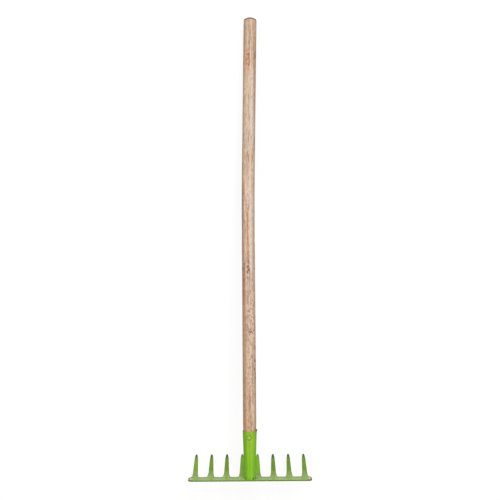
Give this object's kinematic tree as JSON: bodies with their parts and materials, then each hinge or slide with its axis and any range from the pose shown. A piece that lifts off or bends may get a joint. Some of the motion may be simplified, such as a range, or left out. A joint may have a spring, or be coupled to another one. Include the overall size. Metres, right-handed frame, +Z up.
{
  "type": "garden rake",
  "caption": "Short garden rake: round wooden handle screwed into a tapered steel socket that is welded to a pressed comb of tapered tines, for levelling soil and gathering litter.",
  "frame": {"origin": "on the ground, under the middle of the rake's bounding box, with the rake lying on its tine tips and the rim of its grip end", "axes": "+Y from the comb towards the grip end, +X to the right as seen from above with the comb nearest, +Z up"},
  "size_m": [0.2114, 0.7888, 0.0778],
  "materials": {
    "wood": "smooth turned, clear lacquer",
    "green_paint": "gloss lime green",
    "zinc": "bright zinc plate"
  },
  "bodies": {
    "root": {"handle": "wood", "socket": "green_paint", "tine_comb": "green_paint", "socket_weld": "green_paint", "socket_screw": "zinc"}
  },
  "joints": []
}
